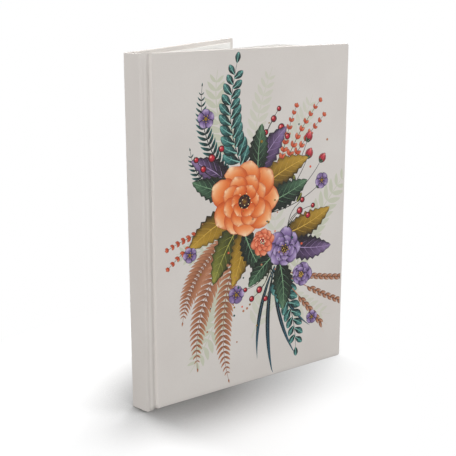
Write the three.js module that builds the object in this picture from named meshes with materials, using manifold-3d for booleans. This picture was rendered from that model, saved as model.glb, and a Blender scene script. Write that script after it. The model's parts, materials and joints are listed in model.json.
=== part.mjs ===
// Weekly planner: a case-bound book that stands on its tail, a little open, with its leaves fanned.
// Millimetres. +X runs from the spine to the fore-edge, +Y from front cover to back cover, +Z is up.
// The origin is on the floor, in the middle of the box that the standing planner fills.

import * as THREE from 'three';
import { mergeVertices } from 'three/addons/utils/BufferGeometryUtils.js';
import Module from 'manifold-3d';

const wasm = await Module();
wasm.setup();

// Covers
const coverWidth = 146;
const headSquare = 3;
const foreEdgeSquare = 3;
const boardThickness = 1.6;
const wrapThickness = 0.2;
const turnInWidth = 14;
const foreEdgeCornerRadius = 1.5;
const hingeCornerRadius = 0.5;
const coverEdgeRadius = 0.4;
const pastedownMargin = 5;

// Spine and joints
const spineCornerRadius = 1.4;
const spineInnerCornerRadius = 0.45;
const jointWidth = 5.5;
const jointThickness = 0.4;
const grooveDepth = 1.45;
const grooveSkew = 1.4;

// Text block
const leafHeight = 210;
const signatureCount = 12;
const leavesPerSignature = 6;
const leafThickness = 0.082;
const flyleafThickness = 0.14;
const foldThickness = 0.2;
const foldTaperLength = 6;

// Back of the block
const liningThickness = 0.2;
const liningMargin = 2;
const mullThickness = 0.25;
const mullMargin = 14;
const glueThickness = 0.7;
const bandRollRadius = 0.75;
const bandTabHeight = 10;

// Clearances
const glueGap = 0.15;
const leafGap = 0.15;
const hollowBackGap = 0.3;
const hingeGap = 0.3;

// Pose of the standing planner, in degrees from the plane midway between the covers
const coverAngle = 16.5;
const firstLeafAngle = -15.4;
const lastLeafAngle = 1.6;
const leafSway = 0.3;
const leafSwayRate = 2.1;

// Fineness of the round parts
const rimSteps = 3;
const cornerSteps = 5;
const grooveSteps = 16;
const weldDistance = 1e-4;

// Sizes that follow from the ones above
const coverHeight = leafHeight + 2 * headSquare;
const caseThickness = boardThickness + 2 * wrapThickness + 2 * glueGap;
const coverThickness = caseThickness + glueGap + flyleafThickness;
const signatureThickness = leavesPerSignature * leafThickness;
const sheetThicknesses = [
  flyleafThickness,
  ...new Array(signatureCount).fill(signatureThickness),
  flyleafThickness,
];
const sheetsTotal = sheetThicknesses.reduce((sum, thickness) => sum + thickness, 0);
const blockThickness = sheetsTotal + (sheetThicknesses.length + 1) * leafGap;
const spineWidth = blockThickness + 2 * coverThickness;
const hingeInset = jointThickness / 2;
const spineHinge = { x: caseThickness + hingeGap + hingeInset, y: -spineWidth / 2 + hingeInset };
const coverStartX = spineHinge.x - hingeInset - hingeGap + jointWidth;
const boardHinge = { x: coverStartX - hingeGap / 2 - hingeInset, y: spineHinge.y + hingeInset };
const foreEdgeX = coverStartX + coverWidth;
const liningX = caseThickness + hollowBackGap;
const mullX = liningX + liningThickness + glueGap;
const glueX = mullX + mullThickness + glueGap;
const leafHingeX = glueX + glueThickness + glueGap + foldThickness / 2;
const leafWidth = foreEdgeX - foreEdgeSquare - leafHingeX;
const backWidth = blockThickness - 2 * leafGap;

const finish = (color, roughness) =>
  new THREE.MeshStandardMaterial({ color, roughness, metalness: 0 });

const printedPaper = () => finish(0xd3cdc5, 0.55);
const greyBoard = () => finish(0x9c9a93, 0.95);
const endpaper = () => finish(0xf1f0ec, 0.85);
const leafPaper = () => finish(0xf4f2ec, 0.9);
const kraftPaper = () => finish(0xb99d76, 0.9);
const gauze = () => finish(0xe8e3d5, 0.95);
const binderGlue = () => finish(0xe6dfc8, 0.4);
const bandCloth = () => finish(0xddd2c0, 0.9);

const radians = THREE.MathUtils.degToRad;

function part(name, geometry, material) {
  const mesh = new THREE.Mesh(geometry, material);
  mesh.name = name;
  return mesh;
}

function pivot(x, y, angle = 0) {
  const group = new THREE.Group();
  group.position.set(x, y, 0);
  group.rotation.z = radians(angle);
  return group;
}

// A rectangle from x = 0 to length, centred on y = 0, with its own radius for the corners of each end
function roundedOutline(length, breadth, startRadius, endRadius) {
  const half = breadth / 2;
  const shape = new THREE.Shape();
  shape.moveTo(startRadius, -half);
  shape.lineTo(length - endRadius, -half);
  shape.absarc(length - endRadius, -half + endRadius, endRadius, -Math.PI / 2, 0);
  shape.lineTo(length, half - endRadius);
  shape.absarc(length - endRadius, half - endRadius, endRadius, 0, Math.PI / 2);
  shape.lineTo(startRadius, half);
  shape.absarc(startRadius, half - startRadius, startRadius, Math.PI / 2, Math.PI);
  shape.lineTo(0, -half + startRadius);
  shape.absarc(startRadius, -half + startRadius, startRadius, Math.PI, Math.PI * 1.5);
  return shape;
}

// An outline in XY drawn out along Z and centred on z = 0, with both rims rounded over
function uprightPrism(outline, height, rimRadius = 0) {
  const geometry = new THREE.ExtrudeGeometry(outline, {
    depth: height - 2 * rimRadius,
    bevelEnabled: rimRadius > 0,
    bevelThickness: rimRadius,
    bevelSize: rimRadius,
    bevelOffset: -rimRadius,
    bevelSegments: rimSteps,
    curveSegments: cornerSteps,
  });
  return geometry.translate(0, 0, rimRadius - height / 2);
}

// An outline whose y is turned up to Z, as thick as a plate that starts at y = 0 and grows towards +Y
function uprightPlate(outline, thickness, rimRadius = 0) {
  const geometry = uprightPrism(outline, thickness, rimRadius);
  return geometry.rotateX(Math.PI / 2).translate(0, thickness / 2, 0);
}

// A plain block from x = 0, y = 0, centred on z = 0
function block(length, breadth, height) {
  return new THREE.BoxGeometry(length, breadth, height).translate(length / 2, breadth / 2, 0);
}

function solidOf(geometry) {
  const bare = geometry.clone();
  bare.deleteAttribute('normal');
  bare.deleteAttribute('uv');
  const welded = mergeVertices(bare, weldDistance);
  return new wasm.Manifold(
    new wasm.Mesh({
      numProp: 3,
      vertProperties: new Float32Array(welded.attributes.position.array),
      triVerts: new Uint32Array(welded.index.array),
    }),
  );
}

function cutFrom(geometry, tools) {
  let solid = solidOf(geometry);
  for (const tool of tools) solid = solid.subtract(solidOf(tool));
  const mesh = solid.getMesh();
  const result = new THREE.BufferGeometry();
  result.setAttribute('position', new THREE.BufferAttribute(mesh.vertProperties, 3));
  result.setIndex(new THREE.BufferAttribute(mesh.triVerts, 1));
  return result;
}

// Printed paper folded round a board: a hollow plate, open inside the turned-in margins
function coverWrap() {
  const outer = uprightPlate(
    roundedOutline(coverWidth, coverHeight, hingeCornerRadius, foreEdgeCornerRadius),
    caseThickness,
    coverEdgeRadius,
  );
  const inset = wrapThickness;
  const hollow = uprightPlate(
    roundedOutline(
      coverWidth - 2 * inset,
      coverHeight - 2 * inset,
      hingeCornerRadius - inset,
      foreEdgeCornerRadius - inset,
    ),
    caseThickness - 2 * inset,
    coverEdgeRadius - inset,
  ).translate(inset, inset, 0);
  const window = block(
    coverWidth - inset - turnInWidth,
    caseThickness,
    coverHeight - 2 * turnInWidth,
  ).translate(inset, caseThickness / 2, 0);
  return cutFrom(outer, [hollow, window]);
}

function coverBoard() {
  const inset = wrapThickness + glueGap;
  return uprightPlate(
    roundedOutline(
      coverWidth - 2 * inset,
      coverHeight - 2 * inset,
      hingeCornerRadius - inset,
      foreEdgeCornerRadius - inset,
    ),
    boardThickness,
    coverEdgeRadius - inset,
  ).translate(inset, inset, 0);
}

function pastedown() {
  const length = coverWidth - pastedownMargin - coverEdgeRadius;
  const y = caseThickness + glueGap;
  return block(length, flyleafThickness, leafHeight).translate(coverEdgeRadius, y, 0);
}

// The flexible joint: wrap, gauze and endpaper pressed into a groove between spine and board
function jointStrip() {
  const runX = boardHinge.x - spineHinge.x;
  const runY = boardHinge.y - spineHinge.y;
  const centre = [];
  for (let step = 0; step <= grooveSteps; step += 1) {
    const share = step / grooveSteps;
    const dip = grooveDepth * Math.sin(Math.PI * share ** grooveSkew) ** 2;
    centre.push(new THREE.Vector2(share * runX, share * runY + dip));
  }
  const sides = [1, -1].map((side) =>
    centre.map((point, index) => {
      const before = centre[Math.max(index - 1, 0)];
      const after = centre[Math.min(index + 1, grooveSteps)];
      const along = after.clone().sub(before).normalize();
      return new THREE.Vector2(-along.y, along.x).multiplyScalar((side * jointThickness) / 2).add(point);
    }),
  );
  return uprightPrism(new THREE.Shape([...sides[1], ...sides[0].reverse()]), coverHeight);
}

// One side of the case, drawn as the front: joint strip on the spine hinge, cover on the board hinge
function caseSide(name) {
  const joint = pivot(spineHinge.x, spineHinge.y, -coverAngle);
  joint.name = `${name}_joint_axis`;
  joint.add(part(`${name}_joint_strip`, jointStrip(), printedPaper()));

  const cover = pivot(boardHinge.x - spineHinge.x, boardHinge.y - spineHinge.y);
  cover.name = `${name}_cover_axis`;
  joint.add(cover);

  const pieces = new THREE.Group();
  pieces.position.set(coverStartX - boardHinge.x, -spineWidth / 2 - boardHinge.y, 0);
  pieces.add(
    part(`${name}_cover_wrap`, coverWrap(), printedPaper()),
    part(`${name}_board`, coverBoard(), greyBoard()),
    part(`${name}_pastedown`, pastedown(), endpaper()),
  );
  cover.add(pieces);

  const side = new THREE.Group();
  side.add(joint);
  return side;
}

function spineWrap() {
  const outer = uprightPrism(
    roundedOutline(caseThickness, spineWidth, spineCornerRadius, spineInnerCornerRadius),
    coverHeight,
    coverEdgeRadius,
  );
  const inset = wrapThickness;
  const hollow = uprightPrism(
    roundedOutline(
      caseThickness - 2 * inset,
      spineWidth - 2 * inset,
      spineCornerRadius - inset,
      spineInnerCornerRadius - inset,
    ),
    coverHeight - 2 * inset,
    coverEdgeRadius - inset,
  ).translate(inset, 0, 0);
  const window = block(caseThickness, spineWidth, coverHeight - 2 * turnInWidth).translate(
    caseThickness - inset - glueGap,
    -spineWidth / 2,
    0,
  );
  return cutFrom(outer, [hollow, window]);
}

function spineBoard() {
  const inset = wrapThickness + glueGap;
  return uprightPrism(
    roundedOutline(
      boardThickness,
      spineWidth - 2 * inset,
      spineCornerRadius - inset,
      spineInnerCornerRadius - inset,
    ),
    coverHeight - 2 * inset,
    coverEdgeRadius - inset,
  ).translate(inset, 0, 0);
}

// A flat layer on the back of the block, as wide as the leaves together
function backLayer(x, thickness, height) {
  return block(thickness, backWidth, height).translate(x, -backWidth / 2, 0);
}

// A woven roll over the end of the block's back, with its tab glued below; drawn for the head
function endBand() {
  const rollX = bandRollRadius;
  const rollZ = bandTabHeight + glueGap + bandRollRadius;
  const meet = Math.acos((mullThickness - rollX) / bandRollRadius);
  const outline = new THREE.Shape();
  outline.moveTo(0, 0);
  outline.lineTo(0, rollZ);
  outline.absarc(rollX, rollZ, bandRollRadius, Math.PI, -meet, true);
  outline.lineTo(mullThickness, 0);
  return uprightPlate(outline, backWidth)
    .translate(mullX, -backWidth / 2, leafHeight / 2 - bandTabHeight);
}

function spine() {
  const group = new THREE.Group();
  const tailband = part('tailband', endBand(), bandCloth());
  tailband.rotation.x = Math.PI;
  group.add(
    part('spine_wrap', spineWrap(), printedPaper()),
    part('spine_board', spineBoard(), greyBoard()),
    part('spine_lining', backLayer(liningX, liningThickness, leafHeight - 2 * liningMargin), kraftPaper()),
    part('mull', backLayer(mullX, mullThickness, leafHeight - 2 * mullMargin), gauze()),
    part('spine_glue', backLayer(glueX, glueThickness, leafHeight), binderGlue()),
    part('headband', endBand(), bandCloth()),
    tailband,
  );
  return group;
}

// Leaves folded together: thin at the fold that it turns on, then parallel to the fore-edge
function foldedLeaves(thickness) {
  const fold = Math.min(foldThickness, thickness) / 2;
  const outline = new THREE.Shape();
  outline.moveTo(0, -fold);
  outline.lineTo(foldTaperLength, -thickness / 2);
  outline.lineTo(leafWidth, -thickness / 2);
  outline.lineTo(leafWidth, thickness / 2);
  outline.lineTo(foldTaperLength, thickness / 2);
  outline.lineTo(0, fold);
  outline.absarc(0, 0, fold, Math.PI / 2, Math.PI * 1.5);
  return uprightPrism(outline, leafHeight);
}

function sheetName(index) {
  if (index === 0) return 'front_flyleaf';
  if (index === sheetThicknesses.length - 1) return 'back_flyleaf';
  return `signature_${String(index).padStart(2, '0')}`;
}

function textBlock() {
  const group = new THREE.Group();
  const lastIndex = sheetThicknesses.length - 1;
  let y = -blockThickness / 2 + leafGap;
  sheetThicknesses.forEach((thickness, index) => {
    const isSignature = index > 0 && index < lastIndex;
    const evenAngle = THREE.MathUtils.lerp(firstLeafAngle, lastLeafAngle, index / lastIndex);
    const sway = isSignature ? leafSway * Math.sin(leafSwayRate * index) : 0;
    const axis = pivot(leafHingeX, y + thickness / 2, evenAngle + sway);
    axis.name = `${sheetName(index)}_axis`;
    axis.add(part(sheetName(index), foldedLeaves(thickness), isSignature ? leafPaper() : endpaper()));
    group.add(axis);
    y += thickness + leafGap;
  });
  return group;
}

const front = caseSide('front');
const back = caseSide('back');
back.rotation.x = Math.PI;

const planner = new THREE.Group();
planner.add(spine(), front, back, textBlock());

const box = new THREE.Box3().setFromObject(planner, true);
planner.position.set(-(box.min.x + box.max.x) / 2, 0, -box.min.z);

export default planner;
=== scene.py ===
import json
import math
import random

import bpy
import numpy as np
from mathutils import Euler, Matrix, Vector
from mathutils.geometry import delaunay_2d_cdt


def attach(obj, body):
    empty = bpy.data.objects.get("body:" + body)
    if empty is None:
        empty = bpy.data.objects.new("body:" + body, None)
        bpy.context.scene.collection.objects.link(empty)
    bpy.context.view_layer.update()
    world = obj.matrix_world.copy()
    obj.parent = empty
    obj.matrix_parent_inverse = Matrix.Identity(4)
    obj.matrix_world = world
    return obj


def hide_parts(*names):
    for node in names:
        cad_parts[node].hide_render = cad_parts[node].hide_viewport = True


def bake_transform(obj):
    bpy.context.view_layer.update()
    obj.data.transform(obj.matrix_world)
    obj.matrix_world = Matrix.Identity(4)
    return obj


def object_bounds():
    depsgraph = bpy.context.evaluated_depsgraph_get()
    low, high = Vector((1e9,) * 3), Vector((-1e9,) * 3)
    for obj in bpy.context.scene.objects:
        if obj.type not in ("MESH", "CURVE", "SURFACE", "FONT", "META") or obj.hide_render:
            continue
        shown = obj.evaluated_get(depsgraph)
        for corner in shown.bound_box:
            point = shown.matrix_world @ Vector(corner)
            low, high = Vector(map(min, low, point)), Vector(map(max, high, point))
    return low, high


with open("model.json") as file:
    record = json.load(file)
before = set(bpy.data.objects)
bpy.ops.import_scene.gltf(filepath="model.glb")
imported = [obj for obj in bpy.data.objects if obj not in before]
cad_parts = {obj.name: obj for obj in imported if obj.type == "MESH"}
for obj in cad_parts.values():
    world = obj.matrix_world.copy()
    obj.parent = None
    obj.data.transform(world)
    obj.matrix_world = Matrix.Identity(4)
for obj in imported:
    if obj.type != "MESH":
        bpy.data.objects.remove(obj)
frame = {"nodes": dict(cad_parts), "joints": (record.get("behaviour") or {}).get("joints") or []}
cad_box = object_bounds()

MM = 0.001
SIDES = ("front", "back")
HINGES = {joint["name"]: joint for joint in frame["joints"]}

# Sizes of the solids, in millimetres. x runs from the spine's outer face to the fore-edge of the shut
# planner, y from the front cover to the back cover, and z up from the floor.
HEIGHT = (cad_box[1].z - cad_box[0].z) / MM
BACK_X = cad_box[0].x / MM
OPEN_ANGLE = -HINGES["front_joint_fold"]["range_deg"][0]


def axis_place(name):
    """Where a joint's upright axis stands."""
    return np.array(HINGES[name]["pos_m"][:2]) / MM - (BACK_X, 0)


# A cover's thickness, the wrap's thickness and the radius of a wrapped edge.
CASE = 2.3
SHEET = 0.2
RIM = 0.4
SPINE_HINGE = axis_place("front_joint_fold")
SPINE_HALF = SHEET - SPINE_HINGE[1]
COVER_START = 7.8
COVER_WIDTH = 146.0
# How far the covers stand proud of the leaves, and how far the wrap is turned in.
SQUARE = 3.0
TURN_IN = 14.0
LEAF_WIDTH = COVER_START + COVER_WIDTH - SQUARE - axis_place("signature_01_turn")[0]
SIGNATURE = 0.492
SIGNATURES = 12


def linear(value):
    value = np.asarray(value, float)
    return np.where(value <= 0.04045, value / 12.92, ((value + 0.055) / 1.055) ** 2.4)


def ink(text, cover=1.0):
    """A printed colour written as six hex digits, as red, green, blue and coverage."""
    return np.array([int(text[i : i + 2], 16) / 255 for i in (0, 2, 4)] + [cover])


def tone(text):
    """A colour written as six hex digits, as linear red, green, blue and one."""
    return (*linear(ink(text)[:3]), 1.0)


# Placing
def turned_about(points, centre, degrees):
    """Points turned about an upright axis through centre. degrees may differ from point to point."""
    a = np.radians(degrees)
    x, y = points[:, 0] - centre[0], points[:, 1] - centre[1]
    moved = points.copy()
    moved[:, 0] = centre[0] + x * np.cos(a) - y * np.sin(a)
    moved[:, 1] = centre[1] + x * np.sin(a) + y * np.cos(a)
    return moved


def stand(points, side="front", share=1.0):
    """Points of the shut planner's front side, in metres where they are on the standing planner. share is
    how much of the joint's opening they take part in."""
    p = turned_about(np.array(points, float).reshape(-1, 3), SPINE_HINGE, -OPEN_ANGLE * np.asarray(share))
    if side == "back":
        p[:, 1] *= -1
    p[:, 0] += BACK_X
    return p * MM


def turned_round(faces):
    return [tuple(reversed(face)) for face in faces]


def piece(name, points, faces, materials, picks=None, flip=False, sharp=35):
    """A mesh object with its materials. flip turns its faces round, as a mirrored side needs."""
    mesh = bpy.data.meshes.new(name)
    mesh.from_pydata([tuple(p) for p in points], [], turned_round(faces) if flip else faces)
    for material in materials:
        mesh.materials.append(material)
    if picks is not None:
        mesh.polygons.foreach_set("material_index", picks)
    mesh.polygons.foreach_set("use_smooth", [True] * len(mesh.polygons))
    mesh.update()
    mesh.set_sharp_from_angle(angle=math.radians(sharp))
    made = bpy.data.objects.new(name, mesh)
    bpy.context.scene.collection.objects.link(made)
    return made


def painted_shade(mesh, share, heights):
    """Painted shade at each point: the given share, and more on the lowest half millimetre as a painted
    contact shadow along the foot.
    """
    low = 0.45 * np.clip(1 - heights / 0.5, 0, 1)
    layer = mesh.attributes.new("painted_shade", "FLOAT", "POINT")
    layer.data.foreach_set("value", np.clip(share + low, 0, 1))


def loft(rings, first=True):
    """Points and faces of equal rings joined one after another, closed at the last ring, and at the first
    ring too unless first is false."""
    count, points = len(rings[0]), np.concatenate(rings)
    faces = []
    for a in range(0, len(points) - count, count):
        for i in range(count):
            j = (i + 1) % count
            faces.append((a + i, a + j, a + count + j, a + count + i))
    if first:
        faces.append(tuple(reversed(range(count))))
    faces.append(tuple(range(len(points) - count, len(points))))
    return points, faces


def joined(*parts):
    """Points and faces of several parts, as those of one."""
    faces, count = [], 0
    for points, some in parts:
        faces += [tuple(v + count for v in face) for face in some]
        count += len(points)
    return np.concatenate([points for points, _ in parts]), faces


CORNER_STEPS = 6
LEVEL_STEPS, UPRIGHT_STEPS = 16, 24


def plate_ring(low, high, radii, depth, pinch=0.0):
    """A rounded rectangle in the cover's plane, counter-clockwise as seen from outside, at a depth. radii
    are those at the hinge and the fore-edge. pinch presses the middle of each corner towards the outside."""
    (x0, z0), (x1, z1) = low, high
    hinge, fore = radii
    corners = [
        (x0 + hinge, z0 + hinge, hinge, 180), (x1 - fore, z0 + fore, fore, 270),
        (x1 - fore, z1 - fore, fore, 0), (x0 + hinge, z1 - hinge, hinge, 90),
    ]
    ring = []
    for k, (cx, cz, r, start) in enumerate(corners):
        for i in range(CORNER_STEPS + 1):
            a = math.radians(start + 90 * i / CORNER_STEPS)
            press = pinch if i == CORNER_STEPS // 2 else 0.0
            ring.append((cx + r * math.cos(a), depth - press, cz + r * math.sin(a)))
        x, _, z = ring[-1]
        cx, cz, r, start = corners[(k + 1) % 4]
        a = math.radians(start)
        goal_x, goal_z = cx + r * math.cos(a), cz + r * math.sin(a)
        steps = UPRIGHT_STEPS if k % 2 else LEVEL_STEPS
        for s in np.arange(1, steps) / steps:
            ring.append((x * (1 - s) + goal_x * s, depth, z * (1 - s) + goal_z * s))
    return np.array(ring)


# Print on the front cover
class Blade:
    """A shape that tapers along a curve, with a shade for each place on it."""

    def __init__(self, spine, half, shade):
        self.spine, self.half, self.shade = np.array(spine, float), np.array(half, float), shade
        along = np.gradient(self.spine, axis=0)
        self.along = along / np.maximum(np.linalg.norm(along, axis=1, keepdims=True), 1e-9)
        self.across = np.stack([-self.along[:, 1], self.along[:, 0]], axis=1)

    def outline(self):
        """The line round the shape, with one point only where an end is pointed."""
        side = self.across * self.half[:, None]
        single = self.half < 0.03
        single[1:-1] = False
        return np.concatenate([(self.spine - side)[~single], (self.spine + side)[::-1]])

    def colours(self, p):
        gap = np.linalg.norm(p[:, None, :] - self.spine[None], axis=2)
        i = gap.argmin(axis=1)
        off = p - self.spine[i]
        step = np.linalg.norm(np.diff(self.spine, axis=0), axis=1).mean()
        t = np.clip((i + (off * self.along[i]).sum(1) / step) / (len(self.spine) - 1), 0, 1)
        half = np.interp(t, np.linspace(0, 1, len(self.half)), self.half)
        u = np.clip((off * self.across[i]).sum(1) / np.maximum(half, 0.05), -1.2, 1.2)
        return self.shade(t, u)


class Disc:
    """A round shape, with a shade by distance and height."""

    def __init__(self, x, y, radius, shade, sides):
        self.centre, self.radius, self.shade, self.sides = np.array([x, y]), radius, shade, sides

    def outline(self):
        a = np.linspace(0, 2 * math.pi, self.sides, endpoint=False)
        return self.centre + np.stack([np.cos(a), np.sin(a)], 1) * self.radius

    def colours(self, p):
        off = (p - self.centre) / self.radius
        return self.shade(np.clip(np.linalg.norm(off, axis=1), 0, 1), off[:, 1])


def ramp(stops, t):
    """Colours along stops that are (place, colour)."""
    places = [stop[0] for stop in stops]
    values = np.array([stop[1] for stop in stops])
    return np.stack([np.interp(t, places, values[:, k]) for k in range(4)], axis=1)


def flat(colour):
    return lambda t, u: np.tile(colour, (len(t), 1))


def mixed(a, b, share):
    share = np.asarray(share)[..., None] if np.ndim(share) else share
    return a * (1 - share) + b * share


# A shade lighter than this stays as it is, and a darker one falls along a steeper line, to a floor.
PALE_FROM, STEEP, DARKEST = 0.52, 1.9, 0.36


def deepened(colours):
    """The same colours with the darker shades pulled down, as a dense ink lies."""
    level = (colours[..., :3].mean(-1, keepdims=True) + colours[..., :3].max(-1, keepdims=True)) / 2
    lower = np.maximum(STEEP * level - (STEEP - 1) * PALE_FROM, DARKEST * level)
    scale = np.where(level < PALE_FROM, lower / np.maximum(level, 0.01), 1.0)
    return np.concatenate([colours[..., :3] * scale, colours[..., 3:]], axis=-1)


def arc_path(x, y, angle, length, bend=0.0, count=12, sway=0.0):
    """A curve that starts at (x, y), heads along angle and turns by bend degrees on its way."""
    points = [(x, y)]
    for i in range(count - 1):
        t = i / (count - 1)
        a = math.radians(angle + bend * t + sway * math.sin(2 * math.pi * t))
        px, py = points[-1]
        points.append((px + length / (count - 1) * math.cos(a), py + length / (count - 1) * math.sin(a)))
    return np.array(points)


def along(path, t):
    """The place at a share of a path's way, and the direction there in degrees."""
    i = t * (len(path) - 1)
    k = np.arange(len(path))
    at = np.array([np.interp(i, k, path[:, 0]), np.interp(i, k, path[:, 1])])
    j = min(int(i), len(path) - 2)
    d = path[j + 1] - path[j]
    return at, math.degrees(math.atan2(d[1], d[0]))


def bulge(count, peak, power):
    """Half widths from 0 to 1 and back to 0, widest at peak."""
    t = np.linspace(0, 1, count)
    return np.sin(np.pi * t ** (math.log(0.5) / math.log(peak))) ** power


def palette(*texts):
    return tuple(ink(text) for text in texts)


GREENS = palette("12271d", "2f5840", "7da27c")
TEALS = palette("0f3338", "256a69", "7fb5aa")
BLUES = palette("0d2736", "1c4a60", "6d9dac")
MUSTARDS = palette("43300a", "94701a", "d6ae4c")
OLIVES = palette("2b3312", "646a25", "aeac55")
PLUMS = palette("1d1128", "563a68", "a892ba")
LILACS = palette("31204a", "6c5289", "c7b6d8")
REDS = palette("570a18", "c02036", "f0938a")
ORANGES = palette("b03a16", "ea7b38", "fde4c0")
CORALS = palette("93311a", "d85d3c", "f4ad88")
CLAYS = palette("70402c", "ad7353", "d8b096")
SAGE = ink("b7be9f", 0.6)
SAGE_PALE = ink("c2c6ae", 0.5)

shapes = []
rng = random.Random(7)


def toned(tones):
    """A shade from dark at the root to light at the tip, with one side darker."""
    dark, mid, light = tones

    def shade(t, u):
        base = ramp([(0, mixed(mid, dark, 0.5)), (0.45, mid), (1, mixed(mid, light, 0.5))], t)
        return mixed(base, dark, 0.3 * np.clip(-u, 0, 1))

    return shade


def stroke(path, start, end, colour, belly=0.0):
    """A drawn line that tapers from one half width to another."""
    t = np.linspace(0, 1, len(path))
    half = start + (end - start) * t + belly * np.sin(np.pi * t)
    shapes.append(Blade(path, half, colour if callable(colour) else flat(colour)))


def leaf(x, y, angle, length, width, tones, bend=0.0, teeth=0, veins=5, peak=0.42):
    dark, mid, light = tones
    count = max(13, 2 * teeth + 1)
    path = arc_path(x, y, angle, length, bend, count)
    half = width / 2 * bulge(count, peak, 0.85)
    half[0] = half[-1] = 0
    if teeth:
        half[1:-1] *= 1 + 0.13 * np.where(np.arange(1, count - 1) % 2, 1, -1)
    lift = 1 if rng.random() < 0.5 else -1

    def shade(t, u):
        side = np.clip(0.5 + 0.5 * lift * u, 0, 1)
        base = ramp([(0, mixed(dark, mid, 0.45)), (0.3, mid), (0.75, mixed(mid, light, 0.35)),
                     (1, mixed(mid, light, 0.75))], t)
        base = mixed(base, light, 0.36 * side * (0.4 + 0.6 * t))
        edge = np.clip(np.abs(u) - 0.55, 0, 1) ** 1.5
        return mixed(base, dark, np.clip(1.3 * edge + 0.5 * (1 - side) * (1 - 0.7 * t), 0, 1))

    shapes.append(Blade(path, half + np.where(half > 0, 0.28, 0), flat(dark)))
    shapes.append(Blade(path, half, shade))
    for k in range(veins):
        t = 0.12 + 0.68 * k / max(veins - 1, 1)
        (vx, vy), _ = along(path, t)
        reach = np.interp(t * (count - 1), np.arange(count), half) * 1.12
        for turn in (-1, 1):
            if reach > 0.9:
                vein = arc_path(vx, vy, angle + bend * t + turn * 46, reach, -turn * 22, 5)
                stroke(vein, 0.16, 0.04, mixed(mid, light, 0.7))
    stroke(path[:-1], min(0.4, width / 14), 0.08, light)


def petal(x, y, angle, length, width, tones, bend=0.0, peak=0.62, streaks=3, power=0.6, deep=0.0):
    """One petal, dark at its root and light at its tip. deep pushes the dark further out."""
    dark, mid, light = tones
    path = arc_path(x, y, angle, length, bend)
    half = width / 2 * bulge(len(path), peak, power)
    half[0] = width * 0.12
    half[-1] = width * 0.05
    wave = rng.uniform(0, 6)

    def shade(t, u):
        base = ramp([(0, dark), (0.3 + 0.26 * deep, mixed(mid, dark, 0.2)),
                     (0.62 + 0.14 * deep, mixed(mid, light, 0.3)), (0.9 + 0.07 * deep, light),
                     (1, mixed(light, mid, 0.12))], t)
        rays = 0.5 + 0.5 * np.sin(u * 7 + wave)
        base = mixed(base, mid, 0.3 * rays * (1 - 0.6 * t))
        return mixed(base, dark, 0.5 * np.clip(np.abs(u) - 0.7, 0, 1) / 0.3)

    shapes.append(Blade(path, half + 0.24, flat(mixed(dark, mid, 0.2))))
    shapes.append(Blade(path, half, shade))
    for k in range(streaks):
        turn = (k - (streaks - 1) / 2) * 13
        ray = arc_path(x, y, angle + turn, length * rng.uniform(0.5, 0.72), bend * 0.6 - turn * 0.7, 6)
        stroke(ray, 0.3, 0.04, mixed(dark, mid, 0.5))


# The angle from each dot of a flower's heart to the next, in radians.
GOLDEN_TURN = 2.399
HEART_DOTS = 16


def bloom(x, y, radius, rings, tones, centre, squash=0.0, tilt=0.0, deep=0.5):
    """Rings of petals, the outer ones first, shorter towards the tilted-away side."""
    for reach, number, spread, share in rings:
        for k in range(number):
            a = 360 * (k + 0.5 * share) / number + rng.uniform(-5, 5)
            near = 1 - squash * (0.5 + 0.5 * math.cos(math.radians(a - tilt)))
            length = radius * reach * near * rng.uniform(0.93, 1.05)
            width = 2 * math.pi * radius * reach / number * spread
            streaks = 3 if reach > 0.5 else 1
            petal(x, y, a, length, width, tones, rng.uniform(-16, 16), streaks=streaks, deep=deep)
    dark, mid, light = centre
    size = radius * 0.15
    shapes.append(Disc(x, y, size * 1.15, flat(dark), 16))
    shapes.append(Disc(x, y, size, lambda r, h: ramp([(0, mid), (1, dark)], r), 14))
    for k in range(HEART_DOTS):
        a = k * GOLDEN_TURN
        r = size * 1.5 * math.sqrt((k + 0.5) / HEART_DOTS)
        shapes.append(Disc(x + r * math.cos(a), y + r * math.sin(a), 0.42, flat(light if k % 3 else mid), 6))


def blossom(x, y, radius, turn):
    """A small lilac flower of five round petals."""
    for k in range(5):
        petal(x, y, turn + 72 * k, radius, radius * 0.95, LILACS, streaks=1, peak=0.66, power=0.5)
    shapes.append(Disc(x, y, radius * 0.2, flat(MUSTARDS[1]), 8))
    for k in range(5):
        a = math.radians(turn + 36 + 72 * k)
        r = radius * 0.34
        shapes.append(Disc(x + r * math.cos(a), y + r * math.sin(a), 0.3, flat(MUSTARDS[2]), 6))


def bud(x, y, angle, size, tones):
    """Three closed petals in a green cup of two leaves."""
    for turn, scale in ((-24, 0.9), (24, 0.9), (0, 1.0)):
        petal(x, y, angle + turn, size * scale, size * 0.52, tones, -turn * 1.4, 0.5, 1, 0.75)
    for turn in (-42, 42):
        leaf(x, y, angle + turn, size * 0.42, size * 0.2, GREENS, -turn * 0.7, veins=0)


def spray(path, pairs, length, width, tones):
    """A stem with pairs of leaves that get smaller towards its end."""
    taper, peak = 0.5, 0.55
    stroke(path, 0.5, 0.12, mixed(tones[0], tones[1], 0.6))
    for k in range(pairs):
        t = 0.16 + 0.8 * k / pairs
        _, head = along(path, t)
        size = 1 - (1 - taper) * k / pairs
        for turn in (-1, 1):
            (x, y), _ = along(path, min(t + (0.03 if turn > 0 else 0), 1))
            reach = length * size * rng.uniform(0.9, 1.08)
            leaf(x, y, head + turn * 52, reach, width * size, tones, -turn * 18, veins=3, peak=peak)
    (x, y), head = along(path, 1)
    leaf(x, y, head, length * taper, width * taper, tones, veins=2, peak=peak)


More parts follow.
